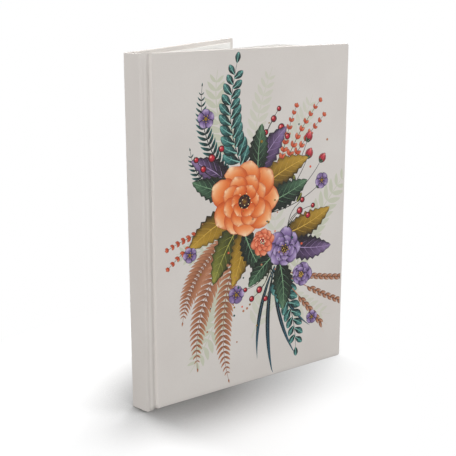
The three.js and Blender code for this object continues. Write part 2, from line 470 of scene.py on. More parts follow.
def fern(path, pairs, length, width, tones):
    """A stem with many narrow leaflets, longest at a third of its way."""
    stroke(path, 0.5, 0.12, mixed(tones[0], tones[1], 0.7))
    for k in range(pairs):
        t = 0.1 + 0.88 * k / pairs
        (x, y), head = along(path, t)
        size = math.sin(math.pi * min(0.22 + 0.76 * t, 1.0)) ** 0.8
        for turn in (-1, 1):
            line = arc_path(x, y, head + turn * 60, length * size, -turn * 30, 8)
            shapes.append(Blade(line, width / 2 * size * bulge(8, 0.36, 0.8) + 0.05, toned(tones)))
    (x, y), head = along(path, 1)
    half = width * 0.2 * bulge(6, 0.4, 0.8) + 0.04
    shapes.append(Blade(arc_path(x, y, head, length * 0.3, 0, 6), half, toned(tones)))


def grass(x, y, angle, length, half, tones, bend):
    """A long arching blade with a light middle line."""
    line = arc_path(x, y, angle, length, bend, 16)
    stroke(line, 0.25, 0.04, toned(tones), belly=half)
    stroke(line[:-2], 0.12, 0.03, mixed(tones[1], tones[2], 0.7))


def frond(path, pairs, length, width, colour):
    """A pale silhouette for the ground behind the flowers."""
    stroke(path, 0.7, 0.15, colour)
    for k in range(pairs):
        t = 0.1 + 0.86 * k / pairs
        (x, y), head = along(path, t)
        size = math.sin(math.pi * (0.2 + 0.75 * t)) ** 0.7
        for turn in (-1, 1):
            line = arc_path(x, y, head + turn * 58, length * size, -turn * 26, 8)
            shapes.append(Blade(line, width / 2 * size * bulge(8, 0.45, 0.8) + 0.02, flat(colour)))


def spike(path, number, size, tones):
    """A flower spike: small buds in pairs up a stem."""
    stroke(path, 0.35, 0.12, OLIVES[1])
    for k in range(number):
        t = 0.25 + 0.75 * k / (number - 1)
        (x, y), head = along(path, t)
        s = size * (1.05 - 0.55 * t)
        for turn in (-1, 1):
            petal(x, y, head + turn * rng.uniform(32, 50), s, s * 0.5, tones, -turn * 18, 0.5, 0, 0.8)
    (x, y), head = along(path, 1)
    petal(x, y, head, size * 0.55, size * 0.3, tones, 0.0, 0.5, 0, 0.8)


def ear(path, number, size, tones):
    """A grass ear: seeds set close along the end of a stem, each with a fine bristle."""
    stroke(path, 0.42, 0.15, tones[1])
    for k in range(number):
        (x, y), head = along(path, 0.5 + 0.5 * k / number)
        turn = 1 if k % 2 else -1
        stroke(arc_path(x, y, head + turn * 20, size * 1.9, -turn * 14, 5), 0.12, 0.03, tones[2])
        petal(x, y, head + turn * 24, size, size * 0.38, tones, -turn * 14, 0.45, 0, 0.85)


def berry(x, y, radius, tones):
    dark, mid, light = tones
    shapes.append(Disc(x, y, radius + 0.2, flat(dark), 14))
    shapes.append(Disc(x, y, radius, lambda r, h: ramp([(0, mid), (0.6, mid), (1, dark)], r), 12))
    shapes.append(Disc(x - radius * 0.3, y + radius * 0.32, radius * 0.3, flat(light), 8))


def cluster(x, y, spots, tones):
    """Berries on fine stems that leave one place."""
    for bx, by, radius in spots:
        t = np.linspace(0, 1, 10)[:, None]
        a, b = np.array([x, y]), np.array([bx, by])
        side = np.array([a[1] - b[1], b[0] - a[0]]) * 0.14
        stroke(a + (b - a) * t + side * np.sin(np.pi * t), 0.32, 0.16, mixed(OLIVES[0], OLIVES[1], 0.5))
    for bx, by, radius in spots:
        berry(bx, by, radius, tones)


def compose():
    """The whole print: sprays, leaves and small flowers round one large flower."""
    # pale ground
    for x, y, a, l, b, pairs, length, width, colour in (
        (70, 30, 64, 96, 34, 13, 15, 4.6, SAGE_PALE), (100, 58, 70, 92, -30, 13, 14, 4.4, SAGE),
        (58, 150, 128, 58, -52, 10, 12, 3.8, SAGE), (70, 84, -58, 86, 44, 12, 14, 4.4, SAGE_PALE),
        (54, 104, 214, 42, -50, 8, 11, 3.6, SAGE), (88, 142, 44, 52, 26, 9, 11, 3.6, SAGE_PALE),
        (52, 84, 262, 74, -34, 12, 13, 4.2, SAGE), (70, 150, 84, 56, -20, 9, 10, 3.4, SAGE_PALE),
    ):
        frond(arc_path(x, y, a, l, b, 14), pairs, length, width, colour)
    # rust ferns and dark grasses
    for x, y, a, l, b in ((54, 100, 206, 62, 58), (56, 96, 226, 84, 52), (60, 92, 246, 88, 40)):
        fern(arc_path(x, y, a, l, b, 16), 21, 10, 2.7, CLAYS)
    for a, l, half, b in ((-118, 64, 1.3, 34), (-104, 78, 1.5, 30), (-90, 70, 1.3, 34), (-76, 58, 1.1, 40)):
        grass(88, 76, a, l, half, BLUES, b)
    # teal sprays
    spray(arc_path(66, 134, 112, 76, -34, 16, 6), 10, 14, 6.8, TEALS)
    spray(arc_path(84, 76, -52, 66, -38, 14), 8, 13, 6.4, TEALS)
    fern(arc_path(56, 136, 138, 66, -58, 16), 17, 8, 2.0, TEALS)
    fern(arc_path(52, 126, 160, 44, -64, 14), 13, 7, 1.9, TEALS)
    # grass ears and flower spikes
    for k, (a, l, b) in enumerate(((-22, 60, 14), (-34, 66, 8), (-47, 62, -4))):
        ear(arc_path(88, 74, a, l, b, 14), 13, 5.2, CLAYS)
    for a, l, b in ((70, 62, -26), (58, 56, -18), (84, 52, -20)):
        spike(arc_path(90, 128, a, l, b, 12), 9, 5.2, CORALS)
    for a, l, b in ((196, 42, 26), (182, 38, 22)):
        spike(arc_path(46, 108, a, l, b, 12), 8, 4.6, CORALS)
    # red buds on fine stems
    for a, l, b, s in ((32, 44, 34, 7.5), (18, 50, 38, 7.0), (46, 52, 22, 7.5), (4, 40, 30, 6.0)):
        stem = arc_path(84, 112, a, l, b, 12)
        stroke(stem, 0.35, 0.18, OLIVES[0])
        at, head = along(stem, 1)
        bud(at[0], at[1], head, s, REDS)
        at, head = along(stem, 0.55)
        leaf(at[0], at[1], head + 36, 7, 3, OLIVES, veins=2)
    cluster(78, 132, ((92, 166, 2.5), (86, 172, 2.1), (97, 160, 2.0), (80, 164, 1.8), (90, 178, 1.6)), REDS)
    # broad leaves
    for x, y, a, l, w, tones, b in (
        (60, 116, 196, 42, 17, MUSTARDS, 24), (62, 110, 232, 44, 17, OLIVES, 18),
        (66, 108, 262, 42, 16, MUSTARDS, -16), (70, 134, 62, 42, 17, PLUMS, -24),
        (76, 128, 34, 42, 17, MUSTARDS, -22), (54, 134, 138, 34, 15, PLUMS, 22),
        (96, 96, 8, 40, 16, MUSTARDS, 24), (98, 88, -18, 38, 16, PLUMS, 20),
        (58, 128, 168, 34, 15, GREENS, -14), (80, 118, 12, 36, 16, GREENS, 16),
        (64, 102, 290, 32, 14, GREENS, 14), (74, 138, 90, 32, 14, GREENS, -12),
        (92, 78, -74, 34, 15, GREENS, -22), (88, 84, 214, 28, 13, GREENS, 18),
    ):
        leaf(x, y, a, l, w, tones, bend=b, teeth=9, veins=6)
    # flowers
    heart = (PLUMS[0], MUSTARDS[1], MUSTARDS[2])
    bloom(96, 86, 15, ((1.0, 8, 0.92, 0), (0.68, 7, 0.9, 1), (0.4, 6, 0.8, 0)), LILACS, heart, 0.2, -60)
    bloom(110, 66, 9.5, ((1.0, 6, 0.95, 0), (0.6, 5, 0.9, 1)), LILACS, heart, 0.25, 200)
    bloom(78, 94, 10.5, ((1.0, 9, 0.9, 0), (0.66, 8, 0.85, 1), (0.36, 5, 0.8, 0)),
          CORALS, (REDS[0], REDS[1], ORANGES[2]), 0.25, 120)
    bloom(64, 122, 27, ((1.0, 9, 1.0, 0), (0.7, 8, 0.92, 1), (0.42, 6, 0.95, 0)),
          ORANGES, (REDS[0], MUSTARDS[1], ink("f3e0a2")), 0.14, 250, deep=1.3)
    for x, y, r, turn in (
        (36, 176, 6.0, 20), (126, 128, 5.5, 50), (58, 62, 6.2, 5), (24, 94, 5.0, 40), (120, 34, 4.8, 10),
    ):
        blossom(x, y, r, turn)
    # berries and specks
    cluster(50, 138, ((40, 152, 2.5), (34, 146, 2.1), (47, 157, 2.0), (29, 152, 1.7)), REDS)
    cluster(98, 100, ((108, 110, 2.4), (115, 106, 2.0), (110, 117, 1.8), (119, 112, 1.6)), REDS)
    cluster(84, 76, ((76, 62, 2.3), (70, 57, 1.9), (81, 55, 1.8), (65, 64, 1.5)), REDS)
    for k in range(44):
        t = rng.random()
        x = 34 + 84 * t + rng.uniform(-24, 24)
        y = 58 + 88 * t + rng.uniform(-46, 46)
        if 22 < x < 138 and 12 < y < 190 and not (x > 98 and y > 170):
            radius = rng.uniform(0.4, 1.0)
            shapes.append(Disc(x, y, radius, flat(rng.choice((CORALS, CLAYS, TEALS, MUSTARDS))[1]), 8))


def within_line(points, line):
    """Which points lie inside a closed line, by how often it winds round them."""
    after = np.roll(line, -1, axis=0)
    x, y = points[:, 0][:, None], points[:, 1][:, None]
    side = (after[:, 0] - line[:, 0]) * (y - line[:, 1]) - (x - line[:, 0]) * (after[:, 1] - line[:, 1])
    up = (line[:, 1] <= y) & (after[:, 1] > y) & (side > 0)
    down = (line[:, 1] > y) & (after[:, 1] <= y) & (side < 0)
    return up.sum(1) != down.sum(1)


# The spacing of the points between the drawn shapes, and how far those stay from the face's rim.
GRID = 3.2
PRINT_INSET = 0.9


def printed_face(ring, drawn):
    """The triangles inside a ring in the cover's plane, cut along every drawn shape, with the topmost colour
    at each corner. Returns points, triangles and one colour per corner."""
    low, high = ring.min(0) + PRINT_INSET, ring.max(0) - PRINT_INSET
    lines = []
    for shape in drawn:
        line = np.clip(shape.outline(), low, high)
        lines.append(line[np.linalg.norm(line - np.roll(line, 1, axis=0), axis=1) > 0.02])
    verts, edges = [], []
    for line in [ring] + lines:
        start, count = len(verts), len(line)
        verts += [Vector(p) for p in line]
        edges += [(start + i, start + (i + 1) % count) for i in range(count)]
    for k, z in enumerate(np.arange(low[1] + GRID / 2, high[1], GRID * 0.87)):
        shift = GRID / 2 if k % 2 == 0 else 0.0
        verts += [Vector((x, z)) for x in np.arange(low[0] + GRID / 2 + shift, high[0], GRID)]
    points, _, made, _, _, _ = delaunay_2d_cdt(verts, edges, [], 0, 1e-4, False)
    points, triangles = np.array([tuple(p) for p in points]), np.array(made)
    centres = points[triangles].mean(1)
    top = np.full(len(triangles), -1)
    order = np.argsort(centres[:, 0])
    ranked = centres[order, 0]
    for k, line in enumerate(lines):
        if len(line) < 3:
            continue
        first, last = np.searchsorted(ranked, (line[:, 0].min(), line[:, 0].max()))
        some = order[first:last]
        some = some[(centres[some, 1] >= line[:, 1].min()) & (centres[some, 1] <= line[:, 1].max())]
        if len(some):
            top[some[within_line(centres[some], line)]] = k
    colour = np.zeros((len(triangles), 3, 4))
    for k in np.unique(top[top >= 0]):
        mine = top == k
        colour[mine] = deepened(drawn[k].colours(points[triangles[mine].ravel()])).reshape(-1, 3, 4)
    return points, triangles, colour


# Materials
class Tree:
    """The nodes of a material or a world, added by kind, with values or links given by input."""

    def __init__(self, owner):
        owner.use_nodes = True
        self.owner, self.nodes, self.links = owner, owner.node_tree.nodes, owner.node_tree.links
        self.nodes.clear()

    def put(self, node, key, value):
        slot = node.inputs[key]
        if isinstance(value, bpy.types.NodeSocket):
            self.links.new(value, slot)
        elif isinstance(value, bpy.types.Node):
            self.links.new(value.outputs[0], slot)
        else:
            slot.default_value = value

    def add(self, kind, settings=None, **inputs):
        node = self.nodes.new("ShaderNode" + kind)
        for key, value in (settings or {}).items():
            setattr(node, key, value)
        for key, value in inputs.items():
            self.put(node, int(key[1:]) if key[1:].isdigit() else key.replace("_", " "), value)
        return node

    def math(self, operation, a, b=0.5, c=0.0):
        return self.add("Math", {"operation": operation}, i0=a, i1=b, i2=c)

    def seen(self):
        """One for the camera's rays, also by way of gloss or glass, and zero for light's own."""
        path = self.add("LightPath")
        kinds = ("Camera", "Glossy", "Transmission")
        camera, glossy, through = (path.outputs[f"Is {kind} Ray"] for kind in kinds)
        return self.math("MAXIMUM", camera, self.math("MAXIMUM", glossy, through))


class Material(Tree):
    """A material's nodes, with its shader and its output in place."""

    def __init__(self, name):
        super().__init__(bpy.data.materials.new(name))
        self.shader = self.add("BsdfPrincipled")
        self.out = self.add("OutputMaterial", Surface=self.shader)

    def where(self, *stretch):
        """The place on the object, times a factor along x, y and z if they are given."""
        place = self.add("TexCoord").outputs["Object"]
        return self.add("VectorMath", {"operation": "MULTIPLY"}, i0=place, i1=stretch) if stretch else place

    def attribute(self, name):
        return self.add("Attribute", {"attribute_name": name}).outputs

    def noise(self, vector, scale, detail=3.0, rough=0.5):
        return self.add("TexNoise", Vector=vector, Scale=scale, Detail=detail, Roughness=rough)

    def mix(self, share, a, b, blend="MIX"):
        return self.add("Mix", {"data_type": "RGBA", "blend_type": blend}, i0=share, i6=a, i7=b).outputs[2]

    def spread(self, value, low, high, to_low=0.0, to_high=1.0):
        return self.add("MapRange", Value=value, i1=low, i2=high, i3=to_low, i4=to_high)

    def bump(self, height, distance, strength):
        return self.add("Bump", Height=height, Distance=distance, Strength=strength)

    def finish(self, colour, roughness, normal, specular=0.5):
        for key, value in (("Base Color", colour), ("Roughness", roughness), ("Normal", normal)):
            self.put(self.shader, key, value)
        self.shader.inputs["Specular IOR Level"].default_value = specular
        return self.owner


def wrap_material(name, inked):
    """Warm white cover paper under a matt film, with the print on it if inked."""
    t = Material(name)
    where = t.where()
    cloud = t.noise(where, 26.0)
    grain = t.noise(where, 1500.0, 2.0, 0.6)
    paper = t.mix(t.spread(cloud, 0.3, 0.7), tone("d8d3ce"), tone("d3cdc8"))
    paper = t.mix(t.spread(grain, 0.35, 0.75, 0.0, 0.16), paper, tone("c3bcb5"))
    if inked:
        drawn = t.attribute("ink")
        worn = t.spread(grain, 0.3, 0.8, 1.0, 0.93)
        blotch = t.noise(where, 420.0, 3.0, 0.6)
        inks = t.mix(t.spread(blotch, 0.3, 0.7, 0.0, 0.3), drawn["Color"], (0.02, 0.02, 0.015, 1), "MULTIPLY")
        inks = t.mix(t.spread(blotch, 0.3, 0.7, 0.0, 0.16), drawn["Color"], inks)
        paper = t.mix(t.math("MULTIPLY", drawn["Alpha"], worn), paper, inks)
    # Painted shade: a grey-brown laid over the wrap along its foot, as a contact shadow, and in the joints'
    # groove.
    painted_shade_share = t.math("MULTIPLY", t.attribute("painted_shade")["Fac"], t.spread(cloud, 0.2, 0.8, 0.7, 1.0))
    paper = t.mix(painted_shade_share, paper, tone("6f6862"))
    film = t.bump(t.noise(where, 620.0, 2.0), 0.00003, 0.5)
    t.put(film, "Normal", t.bump(t.noise(where, 60.0, 2.0), 0.0002, 0.35))
    return t.finish(paper, t.spread(grain, 0.2, 0.8, 0.46, 0.58), film, 0.12)


# What a leaf's map gives instead of the place on the page, at its cut edges and at its top and bottom. The
# top and bottom take a darker tone than the fore-edge, as painted shade.
CUT_EDGE, SHADED_END = -50.0, -90.0


def paper_material(name, colour, warm, ruled):
    """Uncoated paper with fibres, and the pale rules of a week's page if ruled."""
    t = Material(name)
    fibre = t.noise(t.where(1.0, 1.0, 0.35), 1900.0, 3.0, 0.65)
    cloud = t.noise(t.where(), 60.0, 2.0)
    base = t.mix(t.spread(fibre, 0.3, 0.75), tone(colour), tone(warm))
    base = t.mix(t.spread(cloud, 0.35, 0.7, 0.0, 0.35), base, tone(warm))
    if ruled:
        page = t.add("SeparateXYZ", Vector=t.add("UVMap", {"uv_map": "page"}))
        x, y = page.outputs[0], page.outputs[1]
        left, right, foot, line, day = 12.0, 132.0, 14.0, 6.0, 24.0

        def lines(value, pitch, start, width):
            cycle = t.math("FRACT", t.math("MULTIPLY_ADD", value, 1 / pitch, -start / pitch))
            return t.math("LESS_THAN", cycle, width / pitch)

        def within(value, low, high):
            return t.math("MULTIPLY", t.math("GREATER_THAN", value, low), t.math("LESS_THAN", value, high))

        across = within(x, left, right + 0.3)
        inner = t.math("MULTIPLY", within(x, left, right), within(y, foot, 186.0))
        fine = t.math("MULTIPLY", lines(y, line, foot, 0.22), inner)
        inside = t.math("MULTIPLY", across, within(y, 13.8, 186.6))
        days = t.math("MULTIPLY", lines(y, day, foot, 0.5), inside)
        column = t.math("MULTIPLY", within(x, 30.0, 30.4), within(y, foot, 182.5))
        band = t.math("MULTIPLY", across, within(y, 190.0, 197.0))
        base = t.mix(t.math("MULTIPLY", fine, 0.55), base, tone("b9b7b4"))
        base = t.mix(t.math("MULTIPLY", t.math("MAXIMUM", days, column), 0.8), base, tone("8f8d8c"))
        base = t.mix(t.math("MULTIPLY", band, 0.6), base, tone("c9cdbf"))
        # The cut edges are greyer than the faces, partly their own tone and partly painted shade between the
        # leaves. The top and bottom ends are darker still, as painted shade.
        for mark, dark, light in ((CUT_EDGE, "c4c1c6", "dcd9d9"), (SHADED_END, "a3a0a8", "bfbcc4")):
            cut = t.mix(t.spread(fibre, 0.35, 0.65), tone(dark), tone(light))
            base = t.mix(t.math("LESS_THAN", x, mark + 20), base, cut)
    return t.finish(base, t.spread(fibre, 0.2, 0.8, 0.78, 0.9), t.bump(fibre, 0.00002, 0.6), 0.3)


def fibre_material(name, stretch, noise, dark, light, rough, relief, fleck=None):
    """Board, kraft paper or brushed glue: two colours that run along its fibres, and flecks."""
    t = Material(name)
    fibre = t.noise(t.where(*stretch), *noise)
    base = t.mix(t.spread(fibre, 0.3, 0.7), tone(dark), tone(light))
    if fleck:
        spots = t.add("TexVoronoi", {"feature": "F1"}, Vector=t.where(), Scale=420.0)
        base = t.mix(t.spread(spots.outputs["Distance"], 0.0, 0.14, 0.7, 0.0), base, tone(fleck))
    return t.finish(base, t.spread(fibre, 0.2, 0.8, *rough), t.bump(fibre, *relief))


def gauze_material():
    """Open starched weave: threads both ways with the glue seen between them."""
    t = Material("gauze")
    pitch = 0.0011
    parts = t.add("SeparateXYZ", Vector=t.where())
    waves = [t.math("SINE", t.math("MULTIPLY", parts.outputs[k], 2 * math.pi / pitch)) for k in (1, 2)]
    cloth = t.math("MAXIMUM", *(t.spread(wave, -0.4, 0.6) for wave in waves))
    return t.finish(t.mix(cloth, tone("b9ad90"), tone("ece7da")), t.spread(cloth, 0, 1, 0.55, 0.95),
                    t.bump(cloth, 0.00012, 0.8))


def band_material():
    """Twisted thread, in the colours that the band's points give."""
    t = Material("band cloth")
    twist = t.noise(t.where(3.0, 1.0, 3.0), 2600.0, 2.0)
    base = t.mix(t.spread(twist, 0.3, 0.7, 0.0, 0.3), t.attribute("thread")["Color"], tone("8f8578"))
    return t.finish(base, t.spread(twist, 0.2, 0.8, 0.75, 0.95), t.bump(twist, 0.00005, 0.7))


WRAP = wrap_material("plain wrap", False)
PRINT = wrap_material("printed wrap", True)
ENDPAPER = paper_material("endpaper", "f3f2f0", "e9e7e2", False)
LEAF = paper_material("leaf paper", "f2f0ec", "e8e5de", True)
BOARD = fibre_material("grey board", (1.0, 2.5, 1.0), (700.0, 4.0, 0.7), "8d8a84", "a39f97",
                       (0.85, 0.96), (0.00006, 0.7), "5f5a54")
KRAFT = fibre_material("kraft lining", (1.0, 1.0, 0.15), (900.0, 4.0, 0.7), "a98a62", "c4a77e",
                       (0.8, 0.92), (0.00004, 0.7))
GLUE = fibre_material("binder glue", (1.0, 1.0, 0.2), (500.0, 3.0, 0.5), "e2dac0", "cfc4a2",
                      (0.3, 0.48), (0.0001, 0.5))
GAUZE = gauze_material()
BAND = band_material()


# Covers
def rim_arc(start, end, steps=4):
    """For each step round a rim, how far it lies in from the edge and how deep, as parts of one."""
    angles = [math.radians(start + (end - start) * i / steps) for i in range(steps + 1)]
    return [(1 - math.sin(a), 1 - math.cos(a)) for a in angles]


# The corners of a cover at the hinge and at the fore-edge, and how far their turn-in is pressed.
HINGE_CORNER, FORE_CORNER = 0.5, 1.5
PINCH = 0.07


def cover_rings():
    """Rings of the wrap as one sheet: round the outer face, over the edges, turned in, and back inside."""
    rings = []

    def ring(hinge, other, depth, radii, pinch=0.0):
        low = (COVER_START + hinge, other)
        high = (COVER_START + COVER_WIDTH - other, HEIGHT - other)
        rings.append(plate_ring(low, high, radii, depth - SPINE_HALF, pinch))

    for inset, depth in rim_arc(0, 90):
        inset *= RIM
        ring(inset, inset, RIM * depth, (HINGE_CORNER - inset, FORE_CORNER - inset))
    for inset, depth in rim_arc(90, 0):
        pressed = PINCH * inset
        inset *= RIM
        ring(inset, inset, CASE - RIM * depth, (HINGE_CORNER - inset, FORE_CORNER - inset), pressed)
    ring(RIM + 0.02, TURN_IN, CASE, (0.1, 0.4), PINCH)
    ring(RIM + 0.02, TURN_IN, CASE - SHEET, (0.1, 0.4))
    ring(RIM, RIM, CASE - SHEET, (HINGE_CORNER - RIM, FORE_CORNER - RIM))
    ring(SHEET, SHEET, CASE - RIM, (HINGE_CORNER - SHEET, FORE_CORNER - SHEET))
    ring(SHEET, SHEET, RIM, (HINGE_CORNER - SHEET, FORE_CORNER - SHEET))
    ring(RIM, RIM, SHEET, (HINGE_CORNER - RIM, FORE_CORNER - RIM))
    return rings


def spot(p):
    return round(p[0], 3), round(p[1], 3)


def cover_piece(side):
    """A cover's wrap as one mesh, with the print on the front cover's outer face."""
    rings = cover_rings()
    points, faces = loft(rings, first=False)
    faces = turned_round(faces)
    ring = rings[0][:, [0, 2]] - (COVER_START, 0)
    face_points, triangles, colour = printed_face(ring, shapes if side == "front" else [])
    x, z = face_points.T
    # the face's rim uses the first ring's own points
    rim = {spot(p): i for i, p in enumerate(ring)}
    numbers = [rim.get(spot(p), len(points) + i) for i, p in enumerate(face_points)]
    faces += [tuple(numbers[v] for v in triangle) for triangle in triangles]
    used = sorted({v for face in faces for v in face})
    order = {v: i for i, v in enumerate(used)}
    faces = [tuple(order[v] for v in face) for face in faces]
    plan = np.concatenate([points, np.column_stack([x + COVER_START, np.full(len(x), -SPINE_HALF), z])])[used]
    material = PRINT if side == "front" else WRAP
    made = piece(f"{side}_cover_case", stand(plan, side), faces, [material], flip=side == "back")
    mesh = made.data
    if side == "front":
        values = np.zeros((len(mesh.loops), 4))
        values[len(mesh.loops) - 3 * len(triangles) :] = colour.reshape(-1, 4)
        values[:, :3] = linear(values[:, :3])
        mesh.color_attributes.new("ink", "FLOAT_COLOR", "CORNER").data.foreach_set("color", values.ravel())
    plan_map(mesh, plan)
    # Painted contact shadow along the cover's foot.
    painted_shade(mesh, 0.0, plan[:, 2])
    return made


def plan_map(mesh, plan):
    """A map for baking: the outer face large, the inner face and the edges small beside it."""
    size, small, margin = 0.97 / HEIGHT, 0.45, 0.01
    inner, edges = (0.69, margin), (0.69, 0.5)
    uv = np.zeros((len(mesh.loops), 2))
    for face in mesh.polygons:
        p = plan[list(face.vertices)]
        depth = p[:, 1] + SPINE_HALF
        place = (p[:, [0, 2]] - (COVER_START, 0)) * size
        if (abs(depth) < 1e-6).all():
            uv[list(face.loop_indices)] = place + margin
        else:
            uv[list(face.loop_indices)] = place * small + (inner if depth.mean() > CASE / 2 else edges)
    mesh.uv_layers.new(name="OFBake").uv.foreach_set("vector", uv.ravel())


compose()
for side in SIDES:
    case = cover_piece(side)
    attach(case, f"{side}_cover")
    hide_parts(f"{side}_cover_wrap")


# Joints between spine and covers
# The groove's two edges, its deepest line, where its two halves meet, and where each half bends.
GROOVE_FROM, GROOVE_TO = 2.6, COVER_START + RIM
VALLEY = 6.4
GROOVE_DEPTH = 1.2
HALVES_MEET = 5.5
BEND_SPINE = (CASE, 3.6)
BEND_COVER = (6.4, COVER_START)
STRIP = 0.4
STRIP_STEPS = 28
SPINE_RIM = 0.45
# The gap to a rim below the strip, and the strip's least thickness there.
RIM_GAP = 0.012
STRIP_LEAST = 0.004
# At its two ends the strip is drawn in over this height, by this share of half its thickness.
END_ROUND, END_SHARE = 0.06, 0.12


def smooth(t):
    """The smooth step from 0 to 1."""
    return t * t * (3 - 2 * t)


def groove(x):
    """Where the strip's outer face lies in y, for places x from the spine to the cover."""
    share = np.clip((x - GROOVE_FROM) / (GROOVE_TO - GROOVE_FROM), 0, 1)
    power = math.log(0.5) / math.log((VALLEY - GROOVE_FROM) / (GROOVE_TO - GROOVE_FROM))
    return GROOVE_DEPTH * np.sin(np.pi * share**power) ** 2 - SPINE_HALF


def strip_profile(low, high):
    """Outer and inner line of the joint strip from low to high, filling the rounded rims it lies over."""
    x = np.linspace(low, high, STRIP_STEPS)
    outer = groove(x)
    slope = np.gradient(outer, x)
    length = np.sqrt(1 + slope**2)
    inner_x, inner = x - STRIP * slope / length, outer + STRIP / length
    for centre, radius, way in ((CASE - SPINE_RIM, SPINE_RIM, 1), (GROOVE_TO, RIM, -1)):
        for k, reach in enumerate((x - centre) * way):
            if 0 <= reach <= radius:
                room = max(radius - math.sqrt(radius**2 - reach**2) - RIM_GAP, STRIP_LEAST)
                inner_x[k], inner[k] = x[k], min(inner[k], outer[k] + room, outer[k] + STRIP)
    return np.stack([x, outer], 1), np.stack([inner_x, inner], 1)


def joint_half(side, low, high, at_spine):
    """One half of a joint's strip: the half at the spine is drawn bent near the spine's edge, and the half at
    the cover is turned whole with the cover.
    """
    outer, inner = strip_profile(low, high)
    middle = (outer + inner) / 2
    rings = []
    for z in (0.0, END_ROUND, SQUARE, HEIGHT / 2, HEIGHT - SQUARE, HEIGHT - END_ROUND, HEIGHT):
        drawn = END_SHARE if z in (0.0, HEIGHT) else 0.0
        near, far = (line + (middle - line) * drawn for line in (outer, inner))
        rings.append(np.insert(np.concatenate([near, far[::-1]]), 2, z, axis=1))
    points, faces = loft(rings)
    picks = []
    for face in faces:
        inside = all(v % len(rings[0]) >= STRIP_STEPS for v in face)
        level = np.mean([points[v][2] for v in face])
        picks.append(1 if len(face) == 4 and inside and SQUARE < level < HEIGHT - SQUARE else 0)
    bend, share = BEND_COVER, 1.0
    if at_spine:
        bend = BEND_SPINE
        t = np.clip((points[:, 0] - bend[0]) / (bend[1] - bend[0]), 0, 1)
        share = smooth(t)
    name = f"{side}_groove_{'spine' if at_spine else 'cover'}_half"
    made = piece(name, stand(points, side, share), faces, [WRAP, ENDPAPER], picks, flip=side == "back")
    turns = (0.0, 1.0) if at_spine else (1.0, 1.0)
    marks = [stand([[x, -SPINE_HALF, 0]], side, turn)[0] for x, turn in zip(bend, turns)]
    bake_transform(made)
    # Painted shade in the groove, darker where it is deeper, with the painted contact shadow along the foot.
    depth = np.clip((points[:, 1] + SPINE_HALF) / GROOVE_DEPTH, 0, 1)
    painted_shade(made.data, 0.1 * depth**0.8, points[:, 2])
    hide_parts(f"{side}_joint_strip")


for side in SIDES:
    joint_half(side, CASE - SPINE_RIM, HALVES_MEET, True)
    joint_half(side, HALVES_MEET, GROOVE_TO, False)


# Spine
SPINE_ROUND = 1.4


def spine_ring(inset, z, steps=9):
    """A level ring round the spine, with its outer edges rounded, drawn in by inset."""
    far, near = CASE - SPINE_RIM, SPINE_HALF - SPINE_RIM
    ring = []
    for x, y, r, start in (
        (SPINE_ROUND, SPINE_ROUND - SPINE_HALF, SPINE_ROUND, 180), (far, -near, SPINE_RIM, 270),
        (far, near, SPINE_RIM, 0), (SPINE_ROUND, SPINE_HALF - SPINE_ROUND, SPINE_ROUND, 90),
    ):
        for i in range(steps + 1):
            a = math.radians(start + 90 * i / steps)
            ring.append((x + (r - inset) * math.cos(a), y + (r - inset) * math.sin(a), z))
    return np.array(ring)


outside = [spine_ring(RIM * inset, RIM * depth) for inset, depth in rim_arc(0, 90)]
outside += [spine_ring(RIM * inset, HEIGHT - RIM * depth) for inset, depth in rim_arc(90, 0)]
hollow_points, hollow_faces = loft([spine_ring(SHEET, SHEET), spine_ring(SHEET, HEIGHT - SHEET)])
points, faces = joined(loft(outside), (hollow_points, turned_round(hollow_faces)))
spine_case = piece("spine_case", stand(points, share=0.0), faces, [WRAP])
# Painted contact shadow along the spine's foot.
painted_shade(spine_case.data, 0.0, points[:, 2])
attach(spine_case, "spine")
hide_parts("spine_wrap")


# Endpapers on the covers
# The wrap left bare at the fore-edge, the endpaper's upper face, how far its middle sinks, its lip's start.
BORDER = 5
PASTED_TOP = CASE + 0.29
SUNK = 0.15
LIP_FROM = 1.15


def endsheet(side):
    """The pasted half of an endpaper: pressed down at its rim, sunk where no wrap is turned in below it, with
    a lip down the board's hinge edge."""
    hinge, fore = COVER_START - SHEET, COVER_START + COVER_WIDTH - BORDER
    turned_x, turned_z = COVER_START + COVER_WIDTH - TURN_IN, TURN_IN
    rings = []

    def ring(x0, z0, x1, fore_radius, depth):
        rings.append(plate_ring((x0, z0), (x1, HEIGHT - z0), (0.05, fore_radius), depth - SPINE_HALF))

    ring(hinge, SQUARE, fore, 0.3, CASE + 0.004)
    ring(hinge, SQUARE, fore, 0.3, PASTED_TOP - 0.07)
    ring(hinge + 0.03, SQUARE + 0.06, fore - 0.06, 0.3, PASTED_TOP - 0.01)
    ring(hinge + 0.06, SQUARE + 0.2, fore - 0.2, 0.3, PASTED_TOP)
    ring(hinge + 0.5, turned_z - 0.5, turned_x + 0.5, 0.6, PASTED_TOP)
    ring(hinge + 0.8, turned_z + 0.5, turned_x - 0.5, 0.6, PASTED_TOP - SUNK)
    sheet, sheet_faces = loft(rings)
    near, low, high = COVER_START - 0.01, LIP_FROM - SPINE_HALF, CASE + 0.003 - SPINE_HALF
    lip = loft([np.array([(hinge, low, z), (near, low, z), (near, high, z), (hinge, high, z)])
                for z in (SQUARE, HEIGHT - SQUARE)])
    points, faces = joined((sheet, turned_round(sheet_faces)), lip)
    made = piece(f"{side}_endsheet", stand(points, side), faces, [ENDPAPER], flip=side == "back")
    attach(made, f"{side}_cover")
    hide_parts(f"{side}_pastedown")


for side in SIDES:
    endsheet(side)


# Leaves
LEAVES = 6
GROUPS = 3
# A leaf thins towards its fold, over the first millimetres, to this share of its place in the signature.
FOLD_TAPER, FOLD_SHARE = 6.0, 0.2 / SIGNATURE
# Each range ends this many degrees past the shut planner.
RANGE_SLACK = 0.001
leaf_rng = random.Random(11)


def sheet_turn(number):
    """The angle that a signature stands at."""
    joint = HINGES[f"signature_{number:02d}_turn"]
    return joint["axis"][2] * (-joint["range_deg"][0] - RANGE_SLACK)


